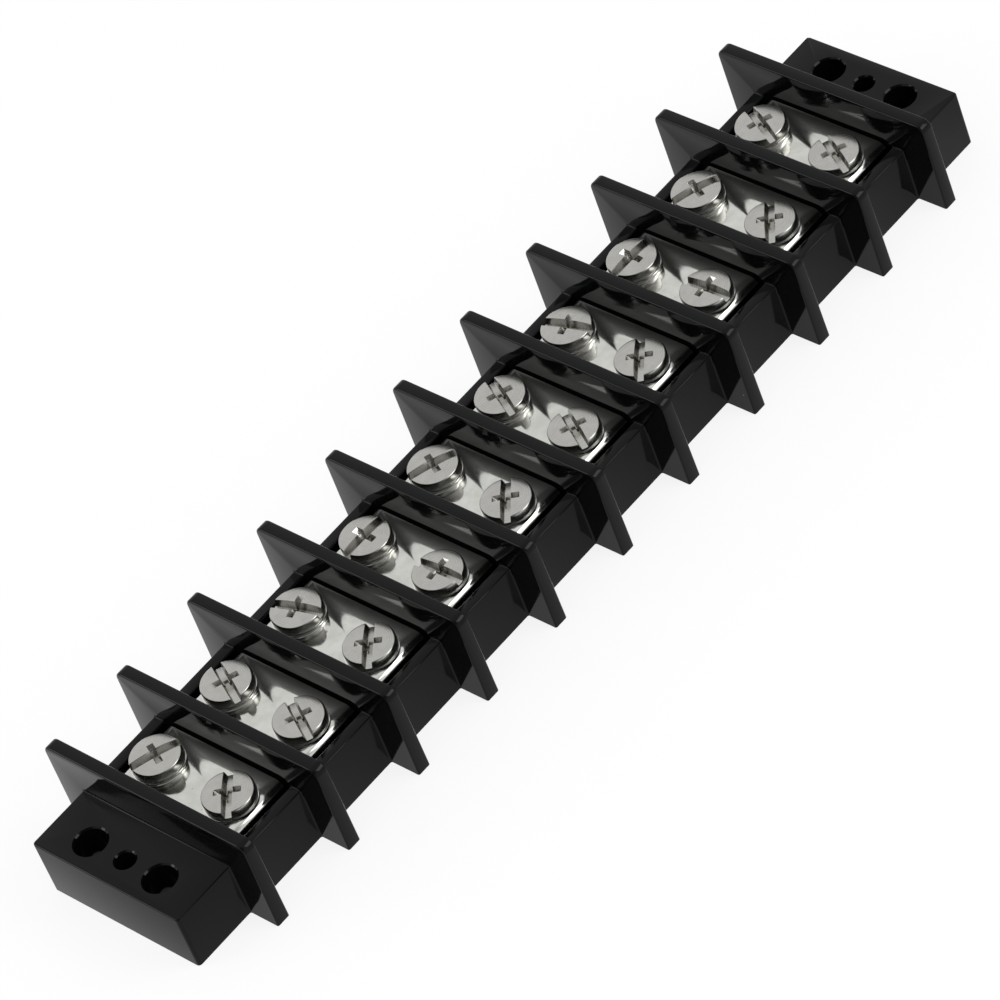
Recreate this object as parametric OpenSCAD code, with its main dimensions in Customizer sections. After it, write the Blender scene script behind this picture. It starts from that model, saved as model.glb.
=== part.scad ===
// Double-row barrier terminal strip.
// A black moulded housing carries one folded metal strip in each bay. Two screws with captive washers
// clamp wires or lugs onto each strip. The row runs along X and stands on Z = 0.

/* [Row] */
// Number of terminal bays
poles = 10; // [2:1:10]
// Distance from one bay to the next
pole_pitch = 16; // [15:0.5:20]

/* [Barriers] */
// Thickness of each barrier at its foot
barrier_t = 2.5; // [2:0.1:3.5]
// How much thinner a barrier is at its top, for release from the mould
barrier_draft = 0.3; // [0:0.05:0.5]
// How far the barriers stand out past each side of the body
barrier_out = 5.7; // [3:0.1:9]
// How far the barriers rise above the body
barrier_rise = 7; // [4:0.1:10]
// Radius of the two upper corners of a barrier
barrier_corner_r = 1.5; // [0.8:0.1:3]
// Rounding of a barrier's long upper edges and its upright outer edges
barrier_edge_r = 0.35; // [0.1:0.05:0.6]

/* [Body] */
// Width of the body across the row
body_w = 30.8; // [28:0.2:36]
// Height of the body and its end blocks
body_h = 10.5; // [9.5:0.1:14]
// Rounding of the body's upper edges
body_edge_r = 0.4; // [0.1:0.1:0.8]
// Length of each end block past the last barrier
end_l = 11.4; // [9:0.1:16]
// Rounding of the upright corners of the end blocks
end_corner_r = 0.6; // [0.2:0.1:2]

/* [Mounting holes] */
// Diameter of the two outer holes in each end block
big_hole_d = 5.3; // [3:0.1:6]
// Diameter of the middle hole in each end block
small_hole_d = 3.3; // [2:0.1:4]
// Distance between the two outer holes
hole_spacing = 14.6; // [12:0.1:20]
// Distance from the end of the row to the line of holes
hole_inset = 4.7; // [4:0.1:6]
// Width of the bevel at each hole's mouth
hole_bevel = 0.25; // [0.1:0.05:0.4]

/* [Strip] */
// Thickness of the strip's sheet metal
strip_t = 1.2; // [0.8:0.1:1.6]
// How far the strip stands above the side rims
strip_rise = 0.5; // [0.2:0.1:0.7]
// Thickness of each side rim of the body, outside the strip
rim_w = 2.1; // [1.2:0.1:3]
// Open groove between a rim and the strip's folded end
groove_w = 1; // [0.6:0.1:1.5]
// Gap between the strip and each barrier
strip_side_gap = 0.35; // [0.2:0.05:0.6]
// Inside radius of the fold at each end
fold_r = 0.5; // [0.3:0.1:0.8]
// How far each folded end reaches below the strip
leg_drop = 3.2; // [2:0.1:5]
// Outside diameter of the plunged collar round each tapped hole
collar_d = 5.8; // [5:0.1:6.4]
// Height of the plunged collar
collar_h = 1.3; // [0.6:0.1:2]

/* [Screws] */
// Distance between the two screws of a bay
screw_spacing = 15.2; // [14:0.1:17]
// Thread diameter
thread_d = 4; // [3:0.1:4]
// Length of the screw below its head
shank_l = 8; // [6:0.5:8.5]
// Diameter of the head
head_d = 8.3; // [7:0.1:9]
// Height of the head at its middle
head_h = 2; // [1.8:0.1:2.6]
// How much the head rises from its rim to its middle
head_dome = 0.25; // [0.1:0.05:0.4]
// Rounding of the head's upper rim
head_rim_r = 0.3; // [0.1:0.05:0.5]
// Width of the full slot at the top of the head
slot_w = 1.7; // [1.2:0.1:2]
// Width of the full slot at its floor
slot_floor_w = 1; // [0.6:0.1:1.1]
// Thickness of metal left in the head under the slot
slot_floor_t = 0.55; // [0.4:0.05:0.8]
// Length across the arms of the cross at the top of the head
cross_l = 4.4; // [3:0.1:5]
// Length across the arms of the cross at its floor
cross_floor_l = 1.8; // [1:0.1:2.5]
// Width of the arms of the cross at the top of the head
cross_w = 1.2; // [0.8:0.05:1.5]
// Width of the arms of the cross at its floor
cross_floor_w = 0.7; // [0.4:0.05:0.75]
// How much deeper the cross is than the slot
cross_sink = 0.4; // [0.1:0.05:0.6]
// Width of the bevel at the screw's tip
tip_bevel = 0.5; // [0.2:0.1:0.8]

/* [Washers] */
// Outside diameter of a captive washer
washer_d = 8.6; // [8:0.1:9.5]
// Thickness of a washer
washer_t = 0.5; // [0.4:0.1:1]
// Rounding of the washer's outer edge
washer_edge_r = 0.15; // [0.05:0.05:0.2]

/* [Fits] */
// Radial gap between a screw and its tapped hole
thread_gap = 0.05; // [0.02:0.01:0.1]
// Radial gap between a screw and its washer
washer_gap = 0.15; // [0.1:0.05:0.3]
// Radial gap between a plunged collar and the well round it
well_gap = 0.3; // [0.2:0.1:0.6]
// Gap between the strip's folded ends and the core they grip
leg_gap = 0.05; // [0.02:0.01:0.2]
// Gap below the tip of a seated screw and below a folded end
tip_gap = 0.6; // [0.4:0.1:1]

/* [Hidden] */
$fn = 64;
eps = 0.01;
through = 1;

// Row layout: the origin is at the middle of the row, on the surface it stands on.
row_l = poles * pole_pitch + barrier_t + 2 * end_l;
barrier_w = body_w + 2 * barrier_out;
barrier_h = body_h + barrier_rise;
bay_l = pole_pitch - barrier_t;

// Heights of the stacked terminal pieces.
strip_top = body_h + strip_rise;
seat_z = strip_top - strip_t;
head_z = strip_top + washer_t;
tip_z = head_z - shank_l;
well_floor_z = tip_z - tip_gap;
slot_floor_z = seat_z - leg_drop - tip_gap;

// Spans of the strip and of the seat that holds it.
strip_x = bay_l - 2 * strip_side_gap;
seat_y = body_w - 2 * rim_w;
strip_y = seat_y - 2 * groove_w;
core_y = strip_y - 2 * strip_t - 2 * leg_gap;
fold_outer_r = fold_r + strip_t;
core_bevel = fold_r + leg_gap;

// Radii that fit one inside another.
shank_r = thread_d / 2;
tapped_r = shank_r + thread_gap;
washer_hole_r = shank_r + washer_gap;
well_r = collar_d / 2 + well_gap;

// Angle of each screw's slot about its axis, for the left and right row, repeating every four bays.
SLOT_TURNS = [[156, 40], [65, 63], [106, 38], [178, 93]];
SIDES = ["left", "right"];

BAYS = [1 : poles];

function barrier_x(n) = (n - poles / 2) * pole_pitch;
function bay_x(n) = (n - (poles + 1) / 2) * pole_pitch;
function side_sign(side) = side == "left" ? 1 : -1;
function slot_turn(n, side) = SLOT_TURNS[(n - 1) % len(SLOT_TURNS)][side == "left" ? 0 : 1];

// A rectangle from Y = 0 up, with both upper corners rounded.
module arched_rect(w, h, r) {
    translate([-w / 2, 0]) square([w, h - r]);
    translate([-w / 2 + r, 0]) square([w - 2 * r, h]);
    for (x = [-1, 1]) translate([x * (w / 2 - r), h - r]) circle(r);
}

// A rectangle about the origin with all four corners rounded.
module rounded_rect(w, l, r) {
    square([w - 2 * r, l], center = true);
    square([w, l - 2 * r], center = true);
    for (x = [-1, 1], y = [-1, 1]) translate([x * (w / 2 - r), y * (l / 2 - r)]) circle(r);
}

// An outline drawn in Y and Z, pushed out equally to both sides along X.
module along_x(l) {
    rotate([90, 0, 90]) translate([0, 0, -l / 2]) linear_extrude(l) children();
}

// An outline drawn in X and Z, pushed out equally to both sides along Y.
module along_y(l) {
    rotate([90, 0, 0]) translate([0, 0, -l / 2]) linear_extrude(l) children();
}

// Section of a barrier: it thins towards the top, where its edges are rounded.
module barrier_section() {
    top_t = barrier_t - barrier_draft;
    shoulder_h = barrier_h - barrier_edge_r;
    polygon([
        [-barrier_t / 2, 0],
        [barrier_t / 2, 0],
        [top_t / 2, shoulder_h],
        [-top_t / 2, shoulder_h]
    ]);
    translate([-top_t / 2 + barrier_edge_r, 0]) square([top_t - 2 * barrier_edge_r, barrier_h]);
    for (x = [-1, 1]) translate([x * (top_t / 2 - barrier_edge_r), shoulder_h]) circle(barrier_edge_r);
}

module barrier() {
    intersection() {
        along_y(barrier_w + through) barrier_section();
        along_x(barrier_t + through) arched_rect(barrier_w, barrier_h, barrier_corner_r);
        linear_extrude(barrier_h + through) rounded_rect(barrier_t, barrier_w, barrier_edge_r);
    }
}

// The bar between the first and last barrier, and both end blocks, as one moulded body.
module body_bar() {
    intersection() {
        along_x(row_l) arched_rect(body_w, body_h, body_edge_r);
        along_y(body_w + through) arched_rect(row_l, body_h, body_edge_r);
        linear_extrude(body_h) rounded_rect(row_l, body_w, end_corner_r);
    }
}

// A bevelled hole right through an end block.
module mounting_hole(d) {
    translate([0, 0, -through]) cylinder(d = d, h = body_h + 2 * through);
    translate([0, 0, body_h - hole_bevel]) cylinder(d1 = d, d2 = d + 2 * hole_bevel + 2 * eps, h = hole_bevel + eps);
}

// Half section of a strip's seat, from its middle out: a flat core, bevelled where the fold passes over it,
// and a slot for the folded end.
module seat_section() {
    polygon([
        [0, seat_z],
        [core_y / 2 - core_bevel, seat_z],
        [core_y / 2, seat_z - core_bevel],
        [core_y / 2, slot_floor_z],
        [seat_y / 2, slot_floor_z],
        [seat_y / 2, body_h + through],
        [0, body_h + through]
    ]);
}

// What one bay takes out of the body: the strip's seat and two screw wells.
module bay_cuts() {
    along_x(bay_l) {
        seat_section();
        mirror([1, 0]) seat_section();
    }
    for (y = [-1, 1]) translate([0, y * screw_spacing / 2, well_floor_z]) cylinder(r = well_r, h = body_h);
}

module housing() {
    color([0.03, 0.03, 0.035])
    union() {
        difference() {
            body_bar();
            for (n = BAYS) translate([bay_x(n), 0, 0]) bay_cuts();
            for (end = [-1, 1]) translate([end * (row_l / 2 - hole_inset), 0, 0]) {
                mounting_hole(small_hole_d);
                for (y = [-1, 1]) translate([0, y * hole_spacing / 2, 0]) mounting_hole(big_hole_d);
            }
        }
        for (n = [0 : poles]) translate([barrier_x(n), 0, 0]) barrier();
    }
}

// Side view of the folded sheet: a flat top with both ends turned down round a smooth fold.
module strip_section() {
    flat_y = strip_y - 2 * fold_outer_r;
    fold_z = strip_top - fold_outer_r;
    leg_z = seat_z - leg_drop;
    translate([-flat_y / 2, seat_z]) square([flat_y, strip_t]);
    for (y = [-1, 1]) {
        translate([y * (strip_y - strip_t) / 2 - strip_t / 2, leg_z]) square([strip_t, fold_z - leg_z]);
        translate([y * flat_y / 2, fold_z]) intersection() {
            difference() {
                circle(fold_outer_r);
                circle(fold_r);
            }
            translate([y * fold_outer_r / 2, fold_outer_r / 2]) square(fold_outer_r, center = true);
        }
    }
}

// One terminal strip: folded sheet with a plunged collar under each tapped hole.
module strip(n) {
    color([0.78, 0.78, 0.76])
    translate([bay_x(n), 0, 0])
    difference() {
        union() {
            along_x(strip_x) strip_section();
            for (y = [-1, 1]) translate([0, y * screw_spacing / 2, seat_z - collar_h])
                cylinder(d = collar_d, h = collar_h + strip_t / 2);
        }
        for (y = [-1, 1]) translate([0, y * screw_spacing / 2, seat_z - collar_h - through])
            cylinder(r = tapped_r, h = collar_h + strip_t + 2 * through);
    }
}

// Half section of the washer, with its outer edges rounded.
module washer_section() {
    outer_r = washer_d / 2;
    translate([washer_hole_r, 0]) square([outer_r - washer_edge_r - washer_hole_r, washer_t]);
    translate([washer_hole_r, washer_edge_r]) square([outer_r - washer_hole_r, washer_t - 2 * washer_edge_r]);
    for (z = [washer_edge_r, washer_t - washer_edge_r]) translate([outer_r - washer_edge_r, z]) circle(washer_edge_r);
}

module washer(n, side) {
    color([0.80, 0.80, 0.78])
    translate([bay_x(n), side_sign(side) * screw_spacing / 2, strip_top])
    rotate_extrude() washer_section();
}

// Half section of the screw about its axis, from the chamfered tip to the domed head.
module screw_section() {
    head_r = head_d / 2;
    rim_z = head_h - head_dome;
    // Radius of the sphere that passes over the head's middle and its rim.
    dome_r = (pow(head_r, 2) + pow(head_dome, 2)) / (2 * head_dome);
    polygon([
        [0, -shank_l],
        [shank_r - tip_bevel, -shank_l],
        [shank_r, tip_bevel - shank_l],
        [shank_r, eps],
        [0, eps]
    ]);
    square([head_r, rim_z - head_rim_r]);
    square([head_r - head_rim_r, rim_z]);
    translate([head_r - head_rim_r, rim_z - head_rim_r]) circle(head_rim_r);
    intersection() {
        translate([0, head_h - dome_r]) circle(dome_r, $fn = 256);
        square([head_r - head_rim_r, head_h]);
    }
}

// A groove's section: wide at the top of the head, narrow at its floor, and open above the head.
module groove_section(top_w, floor_w, depth) {
    flare = (top_w - floor_w) / depth * through;
    translate([0, head_h - depth]) polygon([
        [-floor_w / 2, 0],
        [floor_w / 2, 0],
        [(top_w + flare) / 2, depth + through],
        [-(top_w + flare) / 2, depth + through]
    ]);
}

// The driver recess: a slot with sloping sides right across the head, and a deeper cross in its middle,
// whose arms narrow and shorten towards the floor.
module recess() {
    slot_depth = head_h - slot_floor_t;
    cross_depth = slot_depth + cross_sink;
    along_x(head_d + through) groove_section(slot_w, slot_floor_w, slot_depth);
    for (turn = [0, 90]) rotate(turn) intersection() {
        along_x(head_d) groove_section(cross_w, cross_floor_w, cross_depth);
        along_y(head_d) groove_section(cross_l, cross_floor_l, cross_depth);
    }
}

module screw(n, side) {
    color([0.72, 0.72, 0.70])
    translate([bay_x(n), side_sign(side) * screw_spacing / 2, head_z])
    rotate(slot_turn(n, side))
    difference() {
        rotate_extrude() screw_section();
        recess();
    }
}

housing();
for (n = BAYS) {
    strip(n);
    for (side = SIDES) {
        washer(n, side);
        screw(n, side);
    }
}
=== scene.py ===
# %% [markdown]
# # A ten-pole barrier terminal strip
# The real object is one black moulded housing with ten bays. Each bay holds a folded, nickel-plated
# metal strip, and two screws with captive washers clamp wires onto it. This lesson dresses that object
# around a fixed engineering frame: the frame says where each piece is and how it moves, and here every
# piece is modelled again with soft edges, a true thread and a finish.

# %% Load the fixed frame
import math

import bmesh
import bpy
from mathutils import Euler, Matrix, Vector


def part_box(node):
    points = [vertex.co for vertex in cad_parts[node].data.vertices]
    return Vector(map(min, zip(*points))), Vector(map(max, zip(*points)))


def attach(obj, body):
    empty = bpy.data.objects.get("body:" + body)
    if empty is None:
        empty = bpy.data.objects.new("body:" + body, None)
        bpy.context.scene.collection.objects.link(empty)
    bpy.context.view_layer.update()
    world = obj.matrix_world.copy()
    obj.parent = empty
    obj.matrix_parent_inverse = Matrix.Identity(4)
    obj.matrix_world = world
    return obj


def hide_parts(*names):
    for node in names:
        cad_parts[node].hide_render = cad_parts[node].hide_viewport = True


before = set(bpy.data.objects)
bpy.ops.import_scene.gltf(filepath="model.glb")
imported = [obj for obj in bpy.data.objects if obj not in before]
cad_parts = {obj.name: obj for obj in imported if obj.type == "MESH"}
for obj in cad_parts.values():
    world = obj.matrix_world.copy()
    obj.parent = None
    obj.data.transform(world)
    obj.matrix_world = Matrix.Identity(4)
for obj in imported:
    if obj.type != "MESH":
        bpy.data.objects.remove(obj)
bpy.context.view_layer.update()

# %% [markdown]
# ## Measures
# Everything is in metres. What the frame knows, such as where a screw stands or how tall the housing is,
# is read from it. What lies inside a piece, such as the width of a slot, is a named value here.

# %% Measures read from the frame
MM = 0.001
TINY = 0.001 * MM
BAYS = range(1, 11)
SIDES = ("left", "right")


def span(node):
    """Lowest corner, highest corner and middle of one node of the frame."""
    low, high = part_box(node)
    return low, high, (low + high) / 2


housing_low, housing_high, housing_mid = span("housing")
strip_low, strip_high, strip_mid = span("strip_1")
washer_low, washer_high, washer_mid = span("washer_1_left")
screw_low, screw_high = span("screw_1_left")[:2]
pitch = span("strip_2")[2].x - strip_mid.x
strip_top = strip_high.z
head_base = washer_high.z
screw_reach = washer_mid.y
print(f"pitch {pitch / MM:.2f} mm, strip top {strip_top / MM:.2f} mm, screws at {screw_reach / MM:.2f} mm")

# %% [markdown]
# ## The camera
# The camera looks down along the row from the near left, and it is rolled so that the row climbs from
# the lower left corner to the upper right. A long lens keeps the ten bays nearly the same size.

# %% Camera
CAMERA_PLACE = (-0.37965, -0.57709, 0.66623)
CAMERA_TURN = (43.9396, 15.8650, -48.8868)
LENS = 227.465


def add_camera():
    data = bpy.data.cameras.new("camera")
    data.lens = LENS
    data.sensor_width = 36
    data.clip_start, data.clip_end = 0.05, 20
    camera = bpy.data.objects.new("camera", data)
    camera.location = CAMERA_PLACE
    camera.rotation_euler = Euler([math.radians(a) for a in CAMERA_TURN], "XYZ")
    bpy.context.scene.collection.objects.link(camera)
    bpy.context.scene.camera = camera
    return camera


camera = add_camera()
print("camera is", round((camera.location - housing_mid).length, 3), "m from the row")

# %% [markdown]
# ## Helpers for modelling by hand
# An operator acts on everything that is selected. So each helper first selects one piece alone, opens it
# in edit mode with nothing selected, and then picks faces or edges by where they are or how they face.

# %% Helpers: select, edit, apply
def activate(piece):
    """Makes one piece the only selected and the active one."""
    bpy.ops.object.select_all(action="DESELECT")
    piece.select_set(True)
    bpy.context.view_layer.objects.active = piece


def edit(piece, rule, kind="FACE"):
    """Opens a piece in edit mode and selects the faces, edges or vertices that the rule picks."""
    activate(piece)
    bpy.ops.object.mode_set(mode="EDIT")
    bpy.ops.mesh.select_mode(type=kind)
    bpy.ops.mesh.select_all(action="DESELECT")
    mesh = bmesh.from_edit_mesh(piece.data)
    mesh.normal_update()
    elements = {"FACE": mesh.faces, "EDGE": mesh.edges, "VERT": mesh.verts}[kind]
    chosen = [element for element in elements if rule(element)]
    for element in chosen:
        element.select_set(True)
    mesh.select_flush_mode()
    bmesh.update_edit_mesh(piece.data)
    return len(chosen)


def close_edit():
    bpy.ops.object.mode_set(mode="OBJECT")


def apply(piece, kind, **settings):
    """Adds one modifier to a piece, sets it and applies it."""
    activate(piece)
    modifier = piece.modifiers.new(kind.lower(), kind)
    for name, value in settings.items():
        setattr(modifier, name, value)
    bpy.ops.object.modifier_apply(modifier=modifier.name)


def combine(piece, other, operation):
    """Cuts, joins or intersects a piece with another, which is used up."""
    apply(piece, "BOOLEAN", object=other, operation=operation, solver="MANIFOLD")
    bpy.data.objects.remove(other)


def merged(pieces, name):
    """Joins pieces that don't touch into one object."""
    activate(pieces[0])
    for piece in pieces[1:]:
        piece.select_set(True)
    bpy.ops.object.join()
    pieces[0].name = name
    return pieces[0]


def copied(piece, name, move):
    """A copy with its own mesh, whose place is in its vertices."""
    twin = piece.copy()
    twin.data = piece.data.copy()
    twin.data.transform(move)
    twin.name = name
    bpy.context.scene.collection.objects.link(twin)
    return twin


def block(name, low, high):
    """A box between two corners, with its object at the origin."""
    low, high = Vector(low), Vector(high)
    bpy.ops.object.select_all(action="DESELECT")
    bpy.ops.mesh.primitive_cube_add(size=1, location=(low + high) / 2)
    piece = bpy.context.active_object
    piece.name = name
    piece.scale = high - low
    bpy.ops.object.transform_apply(location=True, rotation=False, scale=True)
    return piece


def turned(name, rings, corners=64):
    """A closed body turned about the Z axis: it grows from ring to ring, each one (radius, height)."""
    radius, height = rings[0]
    bpy.ops.object.select_all(action="DESELECT")
    bpy.ops.mesh.primitive_circle_add(
        vertices=corners, radius=radius, fill_type="NGON", location=(0, 0, height)
    )
    piece = bpy.context.active_object
    piece.name = name
    bpy.ops.object.transform_apply(location=True, rotation=False, scale=False)
    edit(piece, lambda face: True)
    for (r0, z0), (r1, z1) in zip(rings, rings[1:]):
        bpy.ops.mesh.extrude_region_move(TRANSFORM_OT_translate={"value": (0, 0, z1 - z0)})
        if r1 != r0:
            bpy.ops.transform.resize(value=(r1 / r0, r1 / r0, 1), center_override=(0, 0, z1))
    bpy.ops.mesh.select_all(action="SELECT")
    bpy.ops.mesh.normals_make_consistent(inside=False)
    close_edit()
    return piece


def smooth(piece, degrees=35):
    activate(piece)
    bpy.ops.object.shade_smooth_by_angle(angle=math.radians(degrees))


def report(piece):
    size = piece.dimensions / MM
    print(f"{piece.name}: {len(piece.data.polygons)} faces, {size.x:.2f} x {size.y:.2f} x {size.z:.2f} mm")


# %% [markdown]
# ## The housing
# The housing is one moulding: a long bar, eleven thin barriers that stand out on both sides and above
# it, a sunken seat in each bay and three fixing holes in each end. A moulding is easiest to make the way
# its mould is made: a block for the bar, one barrier shaped once and copied, then pockets cut out with
# a cutter of the seat's shape. One narrow bevel at the end softens every edge, as the mould does, and
# that is what draws the thin lines of light along the real one.

# %% Housing: measures
BAR_WIDTH = 30.8 * MM
BAR_HEIGHT = 10.5 * MM
END_CORNER = 0.6 * MM
BARRIER_THICK = 2.5 * MM
BARRIER_DRAFT = 0.3 * MM
BARRIER_CORNER = 1.5 * MM
RIM = 2.1 * MM
STRIP_THICK = 1.2 * MM
LEG_GAP = 0.05 * MM
CORE_BEVEL = 0.55 * MM
CLEAR = 5 * MM
SHARP = math.radians(40)
HOLE_CORNERS = 56
OVERRUN = 0.5 * MM
SEAT_HEIGHT = strip_top - STRIP_THICK
SLOT_FLOOR = strip_low.z - 0.6 * MM
WELL_RADIUS = 3.2 * MM
WELL_FLOOR = screw_low.z - 0.6 * MM
HOLE_INSET = 4.7 * MM
HOLE_SPACING = 14.6 * MM
BIG_HOLE = 5.3 * MM
SMALL_HOLE = 3.3 * MM
HOLE_BEVEL = 0.25 * MM
EDGE = 0.28 * MM
bay_length = pitch - BARRIER_THICK
seat_half = BAR_WIDTH / 2 - RIM
core_half = strip_high.y - STRIP_THICK - LEG_GAP
first_bay = strip_mid.x
first_barrier = first_bay - pitch / 2
print(f"bay {bay_length / MM:.2f} mm long, seat {2 * seat_half / MM:.2f} mm wide")


# %% [markdown]
# A barrier is a block whose top is squeezed a little, as draft, and whose two upper corners are rounded.

# %% Housing: one barrier
def model_barrier():
    half_w = housing_high.y
    barrier = block(
        "barrier",
        (first_barrier - BARRIER_THICK / 2, -half_w, 0),
        (first_barrier + BARRIER_THICK / 2, half_w, housing_high.z),
    )
    edit(barrier, lambda face: face.normal.z > 0.9)
    share = (BARRIER_THICK - BARRIER_DRAFT) / BARRIER_THICK
    bpy.ops.transform.resize(value=(share, 1, 1), center_override=(first_barrier, 0, 0))
    close_edit()

    def upper_corner(edge):
        a, b = (vertex.co for vertex in edge.verts)
        return abs(a.x - b.x) > MM and min(a.z, b.z) > BAR_HEIGHT

    edit(barrier, upper_corner, "EDGE")
    bpy.ops.mesh.bevel(offset=BARRIER_CORNER, offset_type="OFFSET", segments=10)
    close_edit()
    return barrier


barrier = model_barrier()
barriers = [copied(barrier, f"barrier_{n}", Matrix.Translation((n * pitch, 0, 0))) for n in range(1, 11)]
barriers = merged([barrier] + barriers, "barriers")
report(barriers)


# %% [markdown]
# The bar gets rounded upright corners. One cutter with the shape of a seat is copied for all ten bays.

# %% Housing: the bar with its seats
def model_bar():
    bar = block("bar", (housing_low.x, -BAR_WIDTH / 2, 0), (housing_high.x, BAR_WIDTH / 2, BAR_HEIGHT))

    def upright(edge):
        a, b = (vertex.co for vertex in edge.verts)
        return abs(a.z - b.z) > BAR_HEIGHT / 2

    edit(bar, upright, "EDGE")
    bpy.ops.mesh.bevel(offset=END_CORNER, offset_type="OFFSET", segments=6)
    close_edit()
    return bar


def model_seat_cutter():
    """A staple shape: a flat seat for the strip, with a deeper slot at each end for its folded legs.
    It runs a little way into the barriers' places, which the barriers fill again."""
    reach = bay_length / 2 + OVERRUN
    cutter = block(
        "seat_cutter",
        (first_bay - reach, -seat_half, SEAT_HEIGHT),
        (first_bay + reach, seat_half, BAR_HEIGHT + CLEAR),
    )
    for side in (-1, 1):
        edit(cutter, lambda face: True)
        bpy.ops.mesh.bisect(plane_co=(0, side * core_half, 0), plane_no=(0, 1, 0))
        close_edit()
    edit(cutter, lambda face: face.normal.z < -0.9 and abs(face.calc_center_median().y) > core_half)
    bpy.ops.mesh.extrude_region_move(TRANSFORM_OT_translate={"value": (0, 0, SLOT_FLOOR - SEAT_HEIGHT)})
    close_edit()

    def core_edge(edge):
        return all(
            abs(v.co.z - SEAT_HEIGHT) < TINY and abs(abs(v.co.y) - core_half) < TINY for v in edge.verts
        )

    edit(cutter, core_edge, "EDGE")
    bpy.ops.mesh.bevel(offset=CORE_BEVEL, offset_type="OFFSET", segments=1)
    close_edit()
    return cutter


bar = model_bar()
cutter = model_seat_cutter()
cutters = [copied(cutter, f"seat_cutter_{n}", Matrix.Translation((n * pitch, 0, 0))) for n in range(1, 10)]
combine(bar, merged([cutter] + cutters, "seat_cutters"), "DIFFERENCE")
report(bar)

# %% [markdown]
# The barriers join the bar. Then every sharp edge above the underside is bevelled in one step.

# %% Housing: joined, with softened edges
combine(bar, barriers, "UNION")
housing = bar
housing.name = "moulded_housing"


def moulded_edge(edge):
    """A sharp edge anywhere above the underside."""
    standing = max(vertex.co.z for vertex in edge.verts) > TINY
    return standing and edge.calc_face_angle(0) > SHARP


print("edges softened:", edit(housing, moulded_edge, "EDGE"))
bpy.ops.mesh.bevel(offset=EDGE, offset_type="OFFSET", segments=3, clamp_overlap=False)
close_edit()
report(housing)

# %% [markdown]
# The round holes come last, so that the softening leaves their rims alone.

# %% Housing: screw wells and fixing holes
FIXING_ROWS = ((-HOLE_SPACING / 2, BIG_HOLE), (0, SMALL_HOLE), (HOLE_SPACING / 2, BIG_HOLE))


def hole_cutter(name, place, radius, floor, mouth):
    """A drill that opens into a bevelled mouth at the height where it leaves the moulding."""
    top = mouth + MM
    rings = [(radius, floor), (radius, mouth - HOLE_BEVEL), (radius + HOLE_BEVEL + MM, top)]
    drill = turned(name, rings, HOLE_CORNERS)
    drill.data.transform(Matrix.Translation((place[0], place[1], 0)))
    return drill


def model_cutters():
    drills = []
    for n in range(10):
        for y in (-screw_reach, screw_reach):
            x = first_bay + n * pitch
            drills.append(hole_cutter("well", (x, y), WELL_RADIUS, WELL_FLOOR, BAR_HEIGHT + CLEAR))
    for x in (housing_low.x + HOLE_INSET, housing_high.x - HOLE_INSET):
        for y, diameter in FIXING_ROWS:
            drills.append(hole_cutter("fixing", (x, y), diameter / 2, -MM, BAR_HEIGHT))
    return merged(drills, "drills")


combine(housing, model_cutters(), "DIFFERENCE")
smooth(housing)
report(housing)

# %% [markdown]
# ## The terminal strips
# A terminal strip is stamped from sheet metal: flat on top, with both ends folded down round a small
# radius and a short collar pushed through under each tapped hole. The flat part starts as a block. Its
# end face is spun a quarter turn, which bends it as a press would, and then pulled straight down.

# %% Strips: one strip
FOLD_INSIDE = 0.5 * MM
COLLAR_RADIUS = 2.9 * MM
COLLAR_HEIGHT = 1.3 * MM
TAPPED_RADIUS = 2.05 * MM
SHEET_EDGE = 0.1 * MM
FOLD_STEPS = 10
fold_centre_z = strip_top - STRIP_THICK - FOLD_INSIDE
flat_half = strip_high.y - STRIP_THICK - FOLD_INSIDE


def model_strip():
    strip = block(
        "strip", (strip_low.x, -flat_half, strip_top - STRIP_THICK), (strip_high.x, flat_half, strip_top)
    )
    for side in (-1, 1):
        edit(strip, lambda face: face.normal.y * side > 0.9 and face.calc_center_median().y * side > 0)
        bpy.ops.mesh.spin(
            steps=FOLD_STEPS,
            angle=math.radians(90),
            center=(strip_mid.x, side * flat_half, fold_centre_z),
            axis=(side, 0, 0),
        )
        drop = strip_low.z - fold_centre_z
        bpy.ops.mesh.extrude_region_move(TRANSFORM_OT_translate={"value": (0, 0, drop)})
        close_edit()
    edit(strip, lambda face: True)
    bpy.ops.mesh.remove_doubles(threshold=TINY)
    bpy.ops.mesh.normals_make_consistent(inside=False)
    close_edit()
    return strip


strip = model_strip()
report(strip)

# %% [markdown]
# Each tapped hole gets its collar, and the sheet's edges are softened. Nine copies follow.

# %% Strips: collars, tapped holes and softened edges
def finish_strip():
    for side in (-1, 1):
        place = Matrix.Translation((strip_mid.x, side * screw_reach, 0))
        under = strip_top - STRIP_THICK
        lip = 0.15 * MM
        rings = [
            (COLLAR_RADIUS - lip, under - COLLAR_HEIGHT),
            (COLLAR_RADIUS, under - COLLAR_HEIGHT + lip),
            (COLLAR_RADIUS, under + STRIP_THICK / 2),
        ]
        collar = turned("collar", rings, 48)
        collar.data.transform(place)
        combine(strip, collar, "UNION")
        rings = [(TAPPED_RADIUS, under - 2 * COLLAR_HEIGHT), (TAPPED_RADIUS, strip_top + MM)]
        tap = turned("tap", rings, 48)
        tap.data.transform(place)
        combine(strip, tap, "DIFFERENCE")
    apply(strip, "BEVEL", width=SHEET_EDGE, segments=2, limit_method="ANGLE", angle_limit=math.radians(50))
    smooth(strip)


finish_strip()
strips = {1: strip}
strip.name = "folded_strip_1"
for n in BAYS[1:]:
    strips[n] = copied(strip, f"folded_strip_{n}", Matrix.Translation(((n - 1) * pitch, 0, 0)))
report(strips[10])

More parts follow.
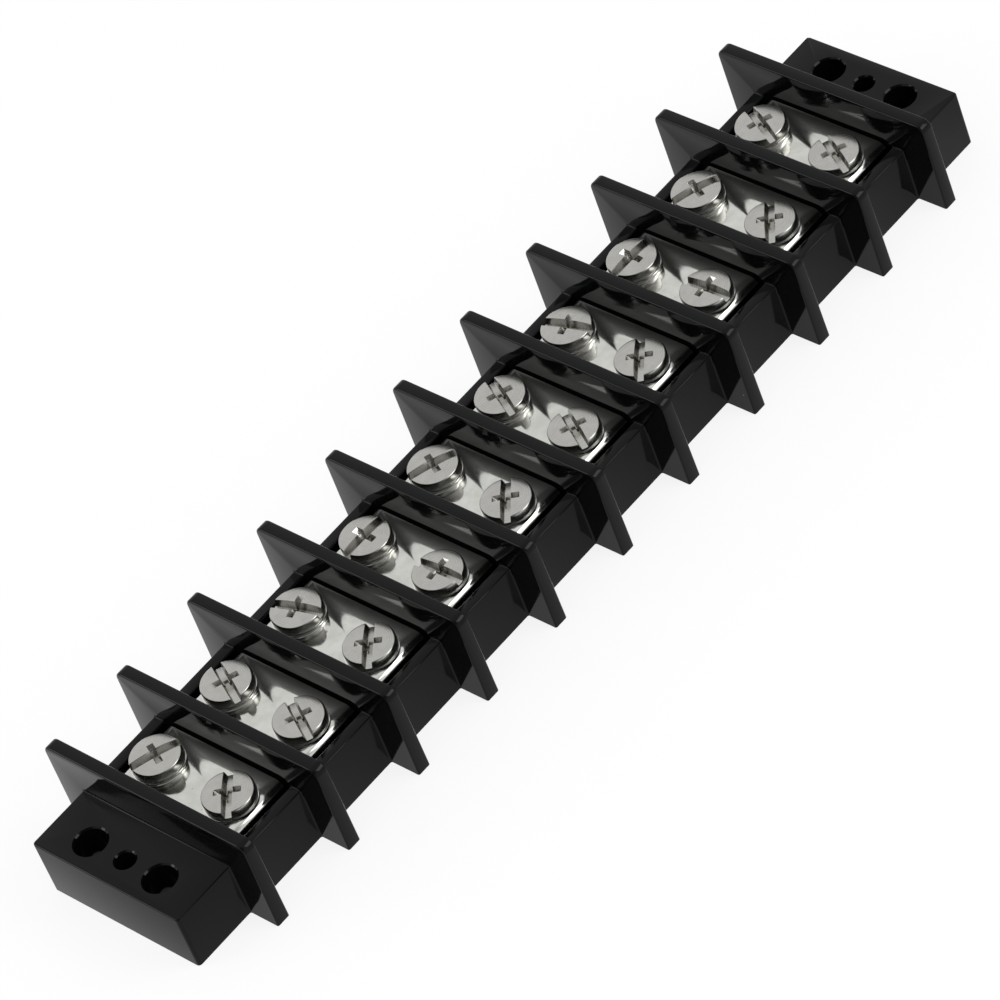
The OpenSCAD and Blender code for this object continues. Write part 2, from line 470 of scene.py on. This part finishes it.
# %% [markdown]
# ## The washers
# Each screw carries a thin captive washer. It is turned as a disc, its hole is cut, and its edges are
# rounded as tumbling and plating leave them.

# %% Washers: one washer and its copies
WASHER_HOLE = 2.15 * MM
WASHER_EDGE = 0.14 * MM


def spot(n, side):
    """Where the axis of one screw stands."""
    middle = span(f"washer_{n}_{side}")[2]
    return Matrix.Translation((middle.x, middle.y, 0))


def model_washer():
    radius = (washer_high.x - washer_low.x) / 2
    washer = turned("washer", [(radius, washer_low.z), (radius, washer_high.z)], 96)
    hole = turned("hole", [(WASHER_HOLE, washer_low.z - MM), (WASHER_HOLE, washer_high.z + MM)], 48)
    combine(washer, hole, "DIFFERENCE")
    apply(washer, "BEVEL", width=WASHER_EDGE, segments=3, limit_method="ANGLE", angle_limit=math.radians(50))
    smooth(washer)
    return washer


pattern_washer = model_washer()
washers = {
    (n, side): copied(pattern_washer, f"captive_washer_{n}_{side}", spot(n, side))
    for n in BAYS
    for side in SIDES
}
bpy.data.objects.remove(pattern_washer)
report(washers[10, "right"])

# %% [markdown]
# ## The screws
# A combination screw has a slot right across its head and a cross in the middle, so that either driver
# fits. The blank is turned ring by ring: a chamfered tip, the shank, and a low head that is slightly
# domed. The recess is cut with tapered cutters, as a punch forms it. The thread is a true helix.

# %% Screws: the head
HEAD_DOME = 0.25 * MM
HEAD_RIM = 0.3 * MM
HEAD_UNDER = 0.18 * MM
SHANK_RADIUS = 2.0 * MM
SLOT_LENGTH = 12 * MM
SLOT_TOP = 1.7 * MM
SLOT_FLOOR_WIDTH = 1.0 * MM
SLOT_METAL = 0.55 * MM
CROSS_TOP = 4.4 * MM
CROSS_FLOOR = 1.7 * MM
CROSS_WIDTH = 1.15 * MM
CROSS_FLOOR_WIDTH = CROSS_WIDTH * 0.55
CROSS_DEPTH = 1.9 * MM
HEAD_EDGE = 0.06 * MM
HEAD_RADIUS = 4.15 * MM
head_top = screw_high.z
rim_height = head_top - HEAD_DOME


def model_head():
    arc = [math.radians(a) for a in (0, 22.5, 45, 67.5, 90)]
    rings = [
        (HEAD_RADIUS - HEAD_UNDER, head_base),
        (HEAD_RADIUS, head_base + HEAD_UNDER),
        (HEAD_RADIUS, rim_height - HEAD_RIM),
    ]
    for a in arc[1:]:
        rings.append((HEAD_RADIUS - HEAD_RIM * (1 - math.cos(a)), rim_height - HEAD_RIM * (1 - math.sin(a))))
    crown = HEAD_RADIUS - HEAD_RIM
    for share in (0.8, 0.6, 0.4, 0.2):
        rings.append((crown * share, rim_height + HEAD_DOME * (1 - share * share)))
    return turned("screw_head", rings, 96)


def wedge(name, length, width, floor_length, floor_width, floor):
    """A cutter that narrows from the head's top down to its floor, running along X."""
    top = head_top + MM
    grow = (top - floor) / (head_top - floor)
    half = Vector(
        (
            (floor_length + (length - floor_length) * grow) / 2,
            (floor_width + (width - floor_width) * grow) / 2,
        )
    )
    cutter = block(name, (-half.x, -half.y, floor), (half.x, half.y, top))
    edit(cutter, lambda face: face.normal.z < -0.9)
    bpy.ops.transform.resize(
        value=(floor_length / 2 / half.x, floor_width / 2 / half.y, 1), center_override=(0, 0, floor)
    )
    close_edit()
    return cutter


def cut_recess(head):
    slot = wedge("slot", SLOT_LENGTH, SLOT_TOP, SLOT_LENGTH, SLOT_FLOOR_WIDTH, head_base + SLOT_METAL)
    combine(head, slot, "DIFFERENCE")
    for quarter in (0, 90):
        arm = wedge("arm", CROSS_TOP, CROSS_WIDTH, CROSS_FLOOR, CROSS_FLOOR_WIDTH, head_top - CROSS_DEPTH)
        arm.data.transform(Matrix.Rotation(math.radians(quarter), 4, "Z"))
        combine(head, arm, "DIFFERENCE")


head = model_head()
cut_recess(head)
apply(head, "BEVEL", width=HEAD_EDGE, segments=2, limit_method="ANGLE", angle_limit=math.radians(30))
report(head)

# %% [markdown]
# The thread starts as the outline of one turn, a zigzag beside the axis. The Screw modifier winds it
# down the shank. A turned blank of the shank then trims it to length, so that both ends are clean.

# %% Screws: the thread
THREAD_PITCH = 0.7 * MM
THREAD_DEPTH = 0.38 * MM
TIP_BEVEL = 0.5 * MM
THREAD_STEPS = 40


def model_thread():
    root = SHANK_RADIUS - THREAD_DEPTH
    length = head_base - screw_low.z
    turns = int(length / THREAD_PITCH) + 4
    start = screw_low.z - 2 * THREAD_PITCH
    outline = ((root, 0), (root, 0.1), (SHANK_RADIUS, 0.44), (SHANK_RADIUS, 0.56), (root, 0.9), (root, 1))
    mesh = bpy.data.meshes.new("thread")
    points = [(x, 0, start + share * THREAD_PITCH) for x, share in outline]
    mesh.from_pydata(points, [(i, i + 1) for i in range(len(points) - 1)], [])
    thread = bpy.data.objects.new("thread", mesh)
    bpy.context.scene.collection.objects.link(thread)
    apply(
        thread,
        "SCREW",
        angle=math.radians(360),
        screw_offset=THREAD_PITCH,
        iterations=turns,
        steps=THREAD_STEPS,
        render_steps=THREAD_STEPS,
        use_merge_vertices=True,
        merge_threshold=TINY,
    )
    return thread


def close_thread(thread):
    """Welds the turns to each other and closes both ends towards the axis."""
    edit(thread, lambda face: True)
    bpy.ops.mesh.remove_doubles(threshold=0.01 * MM)
    close_edit()
    middle = (screw_low.z + head_base) / 2
    for end in (-1, 1):
        edit(thread, lambda edge: edge.is_boundary and (edge.verts[0].co.z - middle) * end > 0, "EDGE")
        bpy.ops.mesh.extrude_edges_move(TRANSFORM_OT_translate={"value": (0, 0, end * THREAD_PITCH / 2)})
        bpy.ops.transform.resize(value=(0, 0, 1), center_override=(0, 0, 0))
        bpy.ops.mesh.merge(type="CENTER")
        close_edit()
    edit(thread, lambda face: True)
    bpy.ops.mesh.normals_make_consistent(inside=False)
    close_edit()


thread = model_thread()
close_thread(thread)
open_edges = edit(thread, lambda edge: edge.is_boundary, "EDGE")
close_edit()
report(thread)
print("open edges left on the thread:", open_edges)

# %% [markdown]
# The blank trims the thread, and the head is joined on top.

# %% Screws: blank, trim and join
def model_shank(thread):
    tip = SHANK_RADIUS - TIP_BEVEL
    rings = [
        (tip, screw_low.z),
        (SHANK_RADIUS, screw_low.z + TIP_BEVEL),
        (SHANK_RADIUS, head_base + 0.2 * MM),
    ]
    blank = turned("shank", rings, 64)
    combine(blank, thread, "INTERSECT")
    return blank


shank = model_shank(thread)
report(shank)
combine(head, shank, "UNION")
pattern_screw = head
smooth(pattern_screw, 30)
report(pattern_screw)

# %% [markdown]
# The screws stand as the last driver left them, so their slots point every way. Each copy is turned
# about the axis of the pattern and then set on its spot. Before that, the pattern keeps every vertex's own
# place in an attribute, so that the finish can follow each screw's axis wherever the copy stands.

# %% Screws: twenty turned copies
SLOT_TURNS = ((156, 40), (65, 63), (106, 38), (178, 93))


def keep_own_place(piece):
    place = piece.data.attributes.new("own_place", "FLOAT_VECTOR", "POINT")
    place.data.foreach_set("vector", [axis for vertex in piece.data.vertices for axis in vertex.co])


def slot_turn(n, side):
    turns = SLOT_TURNS[(n - 1) % len(SLOT_TURNS)]
    return Matrix.Rotation(math.radians(turns[SIDES.index(side)]), 4, "Z")


keep_own_place(pattern_screw)
screws = {
    (n, side): copied(pattern_screw, f"terminal_screw_{n}_{side}", spot(n, side) @ slot_turn(n, side))
    for n in BAYS
    for side in SIDES
}
bpy.data.objects.remove(pattern_screw)
report(screws[10, "right"])

# %% [markdown]
# ## Finishes
# Every finish is one Principled shader fed by small procedural patterns. The helpers below each add one
# kind of node and hand back its output, so a finish reads as a short recipe.

# %% Finishes: helpers
def finish(name, constants):
    """A material with one Principled shader, with its constants set on the shader."""
    material = bpy.data.materials.new(name)
    material.use_nodes = True
    shader = material.node_tree.nodes["Principled BSDF"]
    for socket, value in constants.items():
        shader.inputs[socket].default_value = value
    return material, material.node_tree, shader


def coordinates(tree, stretch=(1, 1, 1), attribute=None):
    """Object coordinates, or an attribute's own ones, stretched along each axis."""
    if attribute:
        source = tree.nodes.new("ShaderNodeAttribute")
        source.attribute_name = attribute
        vector = source.outputs["Vector"]
    else:
        vector = tree.nodes.new("ShaderNodeTexCoord").outputs["Object"]
    mapping = tree.nodes.new("ShaderNodeMapping")
    mapping.inputs["Scale"].default_value = stretch
    tree.links.new(vector, mapping.inputs["Vector"])
    return mapping.outputs["Vector"]


def noise(tree, vector, scale, detail=3.0):
    node = tree.nodes.new("ShaderNodeTexNoise")
    node.inputs["Scale"].default_value = scale
    node.inputs["Detail"].default_value = detail
    tree.links.new(vector, node.inputs["Vector"])
    return node.outputs["Fac"]


def lines(tree, distance, scale):
    """Uneven lines that depend on one distance only, such as the distance from an axis."""
    node = tree.nodes.new("ShaderNodeTexNoise")
    node.noise_dimensions = "1D"
    node.inputs["Scale"].default_value = scale
    tree.links.new(distance, node.inputs["W"])
    return node.outputs["Fac"]


def remap(tree, value, low, high, to_low, to_high):
    """Carries the values between low and high over to another span, and holds them there."""
    node = tree.nodes.new("ShaderNodeMapRange")
    for socket, number in zip(("From Min", "From Max", "To Min", "To Max"), (low, high, to_low, to_high)):
        node.inputs[socket].default_value = number
    tree.links.new(value, node.inputs["Value"])
    return node.outputs["Result"]


def calculated(tree, operation, a, b):
    node = tree.nodes.new("ShaderNodeMath")
    node.operation = operation
    for socket, value in zip(node.inputs, (a, b)):
        if isinstance(value, (int, float)):
            socket.default_value = value
        else:
            tree.links.new(value, socket)
    return node.outputs["Value"]


def blend(tree, factor, first, second):
    """Mixes two colours. Either may be a colour or another node's output."""
    node = tree.nodes.new("ShaderNodeMix")
    node.data_type = "RGBA"
    tree.links.new(factor, node.inputs["Factor"])
    for name, colour in (("A_Color", first), ("B_Color", second)):
        socket = next(one for one in node.inputs if one.identifier == name)
        if isinstance(colour, tuple):
            socket.default_value = (*colour, 1)
        else:
            tree.links.new(colour, socket)
    return next(one for one in node.outputs if one.identifier == "Result_Color")


def specks(tree, vector, scale, size, share):
    """Small round dots: one in some cells of a scatter. share is the part of the cells that have one."""
    node = tree.nodes.new("ShaderNodeTexVoronoi")
    node.inputs["Scale"].default_value = scale
    tree.links.new(vector, node.inputs["Vector"])
    split = tree.nodes.new("ShaderNodeSeparateColor")
    tree.links.new(node.outputs["Color"], split.inputs["Color"])
    dot = remap(tree, node.outputs["Distance"], size * 0.6, size, 1, 0)
    chosen = remap(tree, split.outputs["Red"], 1 - share, 1 - share + 0.005, 0, 1)
    return calculated(tree, "MULTIPLY", dot, chosen)


def relief(tree, shader, height, depth, strength=1.0):
    """Lets a pattern stand out by a depth in metres, without changing the mesh."""
    node = tree.nodes.new("ShaderNodeBump")
    node.inputs["Distance"].default_value = depth
    node.inputs["Strength"].default_value = strength
    tree.links.new(height, node.inputs["Height"])
    tree.links.new(node.outputs["Normal"], shader.inputs["Normal"])


# %% [markdown]
# The moulded plastic is black and glossy. It mirrors only a little where one looks straight at it and much
# more at a glancing angle. Faint flow waves keep the mirror images from being perfect, and a few specks
# of dust lie on it.

# %% Finishes: black plastic
def plastic_finish():
    material, tree, shader = finish(
        "black_moulded_plastic", {"Metallic": 0.0, "IOR": 1.5, "Specular IOR Level": 0.13}
    )
    place = coordinates(tree)
    cloud = noise(tree, place, 90, 4)
    black = blend(tree, cloud, (0.0012, 0.0014, 0.0016), (0.0024, 0.0026, 0.0028))
    dust = specks(tree, place, 260, 0.045, 0.06)
    tree.links.new(blend(tree, dust, black, (0.24, 0.24, 0.25)), shader.inputs["Base Color"])
    gloss = remap(tree, noise(tree, place, 160, 5), 0.3, 0.7, 0.05, 0.11)
    tree.links.new(calculated(tree, "ADD", gloss, dust), shader.inputs["Roughness"])
    relief(tree, shader, noise(tree, coordinates(tree, (1, 1, 0.4)), 220, 2), 0.012 * MM)
    return material


# %% [markdown]
# The strips are plated sheet. Rolling left a fine grain that runs across the row, and stamping and
# plating left a soft mottle with some tiny pits.

# %% Finishes: plated sheet, turned screws and washers
def strip_finish():
    material, tree, shader = finish("plated_sheet", {"Metallic": 1.0})
    place = coordinates(tree)
    grain = noise(tree, coordinates(tree, (1, 0.08, 1)), 2600, 3)
    mottle = noise(tree, place, 420, 5)
    plate = blend(tree, remap(tree, mottle, 0.35, 0.65, 0, 1), (0.52, 0.52, 0.49), (0.60, 0.60, 0.57))
    pits = specks(tree, place, 1300, 0.14, 0.10)
    tree.links.new(blend(tree, pits, plate, (0.26, 0.25, 0.22)), shader.inputs["Base Color"])
    tree.links.new(remap(tree, grain, 0.3, 0.7, 0.07, 0.15), shader.inputs["Roughness"])
    relief(tree, shader, grain, 0.0008 * MM)
    return material


def washer_finish():
    material, tree, shader = finish("plated_washer", {"Metallic": 1.0})
    mottle = noise(tree, coordinates(tree), 700, 4)
    plate = blend(tree, mottle, (0.64, 0.635, 0.61), (0.74, 0.735, 0.71))
    tree.links.new(plate, shader.inputs["Base Color"])
    tree.links.new(remap(tree, mottle, 0.3, 0.7, 0.16, 0.26), shader.inputs["Roughness"])
    return material


# %% [markdown]
# A screw's head carries fine rings from its forming die, so its shine follows the distance from the axis.
# Deep in the middle of the cross the metal is painted darker and warmer: painted shade in the recess.

# %% Finishes: screws
def screw_finish():
    material, tree, shader = finish("plated_screw", {"Metallic": 1.0})
    place = coordinates(tree, attribute="own_place")
    split = tree.nodes.new("ShaderNodeSeparateXYZ")
    tree.links.new(place, split.inputs["Vector"])
    flat = coordinates(tree, (1, 1, 0), "own_place")
    length = tree.nodes.new("ShaderNodeVectorMath")
    length.operation = "LENGTH"
    tree.links.new(flat, length.inputs[0])
    radius = length.outputs["Value"]
    rings = lines(tree, radius, 9000)
    mottle = noise(tree, coordinates(tree), 800, 4)
    satin = blend(tree, mottle, (0.36, 0.355, 0.335), (0.47, 0.465, 0.44))
    # painted shade: deep in the middle of the cross, the metal is mixed halfway towards a dark warm brown
    deep = remap(tree, split.outputs["Z"], head_top - 1.5 * MM, head_top - 0.6 * MM, 1, 0)
    central = remap(tree, radius, 1.2 * MM, 2.1 * MM, 1, 0)
    recess_shade = calculated(tree, "MULTIPLY", deep, central)
    recess_shade = calculated(tree, "MULTIPLY", recess_shade, 0.5)
    tree.links.new(blend(tree, recess_shade, satin, (0.16, 0.145, 0.11)), shader.inputs["Base Color"])
    tree.links.new(remap(tree, rings, 0.3, 0.7, 0.16, 0.30), shader.inputs["Roughness"])
    relief(tree, shader, calculated(tree, "ADD", rings, mottle), 0.002 * MM)
    return material


def paint(piece, material):
    piece.data.materials.clear()
    piece.data.materials.append(material)


plastic, sheet, ring, satin = plastic_finish(), strip_finish(), washer_finish(), screw_finish()
paint(housing, plastic)
for piece in strips.values():
    paint(piece, sheet)
for piece in washers.values():
    paint(piece, ring)
for piece in screws.values():
    paint(piece, satin)
print("finishes:", plastic.name, sheet.name, ring.name, satin.name)

# %% [markdown]
# ## Pieces and bodies
# The housing holds the strips still, so they ride on one body. A screw turns on its washer, and the
# washer rises with it, so each of them rides on a body of its own. Every piece takes the place of the plain
# solid that it models, which stays behind for collision.

# %% Pieces ride on their bodies
def stand_in(piece, body, node):
    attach(piece, body)
    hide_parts(node)


stand_in(housing, "housing", "housing")
for n in BAYS:
    stand_in(strips[n], "housing", f"strip_{n}")
    for side in SIDES:
        stand_in(washers[n, side], f"washer_{n}_{side}", f"washer_{n}_{side}")
        stand_in(screws[n, side], f"screw_{n}_{side}", f"screw_{n}_{side}")
print("pieces placed:", 1 + len(strips) + len(washers) + len(screws))

# %% [markdown]
# ## Floor and light
# The row lies on a white table under a white sky, lit by two softboxes. The large one stands low on the
# near right, where the strips' folds and the screw heads mirror it. The small one stands behind on the
# left, where only the top edges of the barriers mirror it, so it draws thin lines along them.

# %% Floor
FLOOR_SIZE = 6.0
FLOOR_GLOW = 0.85
FLOOR_GAP = 0.05 * MM


def seen_directly(tree):
    """1 for a ray from the camera or from a mirror, 0 for the light that the surface gives to others."""
    path = tree.nodes.new("ShaderNodeLightPath")
    mirrors = calculated(
        tree, "MAXIMUM", path.outputs["Is Glossy Ray"], path.outputs["Is Transmission Ray"]
    )
    return calculated(tree, "MAXIMUM", path.outputs["Is Camera Ray"], mirrors)


def add_floor():
    bpy.ops.mesh.primitive_plane_add(size=FLOOR_SIZE, location=(0, 0, -FLOOR_GAP))
    floor = bpy.context.active_object
    floor.name = "floor"
    material = bpy.data.materials.new("white_floor")
    material.use_nodes = True
    tree = material.node_tree
    tree.nodes.remove(tree.nodes["Principled BSDF"])
    paper = tree.nodes.new("ShaderNodeBsdfDiffuse")
    paper.inputs["Color"].default_value = (0.95, 0.95, 0.95, 1)
    glow = tree.nodes.new("ShaderNodeEmission")
    mix = tree.nodes.new("ShaderNodeMixShader")
    share = calculated(tree, "MULTIPLY", seen_directly(tree), FLOOR_GLOW)
    tree.links.new(share, mix.inputs["Fac"])
    tree.links.new(paper.outputs["BSDF"], mix.inputs[1])
    tree.links.new(glow.outputs["Emission"], mix.inputs[2])
    tree.links.new(mix.outputs["Shader"], tree.nodes["Material Output"].inputs["Surface"])
    paint(floor, material)


add_floor()

# %% [markdown]
# The sky gives the even light, and the two softboxes give the highlights.

# %% World and softboxes
WORLD_LIGHT = 0.85
ROOM_DARK = 0.12
VIEWER = (-0.396, -0.602, 0.695)


def add_world():
    """A white sky, in which mirrors also see the dark side of the room, fixed round one direction."""
    world = bpy.data.worlds.new("white_sky")
    bpy.context.scene.world = world
    world.use_nodes = True
    tree = world.node_tree
    sky = tree.nodes["Background"]
    sky.inputs["Color"].default_value = (1, 1, 1, 1)
    strength = remap(tree, seen_directly(tree), 0, 1, WORLD_LIGHT, 1)
    toward = tree.nodes.new("ShaderNodeVectorMath")
    toward.operation = "DOT_PRODUCT"
    tree.links.new(tree.nodes.new("ShaderNodeTexCoord").outputs["Generated"], toward.inputs[0])
    toward.inputs[1].default_value = VIEWER
    room = remap(tree, toward.outputs["Value"], 0.78, 0.93, 1, ROOM_DARK)
    mirrored = tree.nodes.new("ShaderNodeLightPath").outputs["Is Glossy Ray"]
    shade = calculated(tree, "POWER", room, mirrored)
    tree.links.new(calculated(tree, "MULTIPLY", strength, shade), sky.inputs["Strength"])


def add_softbox(name, direction, distance, size, watts):
    data = bpy.data.lights.new(name, "AREA")
    data.size, data.energy = size, watts
    box = bpy.data.objects.new(name, data)
    box.location = housing_mid + Vector(direction).normalized() * distance
    box.rotation_euler = (box.location - housing_mid).to_track_quat("Z", "Y").to_euler()
    bpy.context.scene.collection.objects.link(box)


add_world()
add_softbox("key_softbox", (0.40, -0.70, 0.60), 0.8, 0.40, 1.8)
add_softbox("edge_softbox", (-0.69, 0.60, 0.40), 0.8, 0.30, 1.2)
bpy.context.scene.view_settings.view_transform = "Standard"
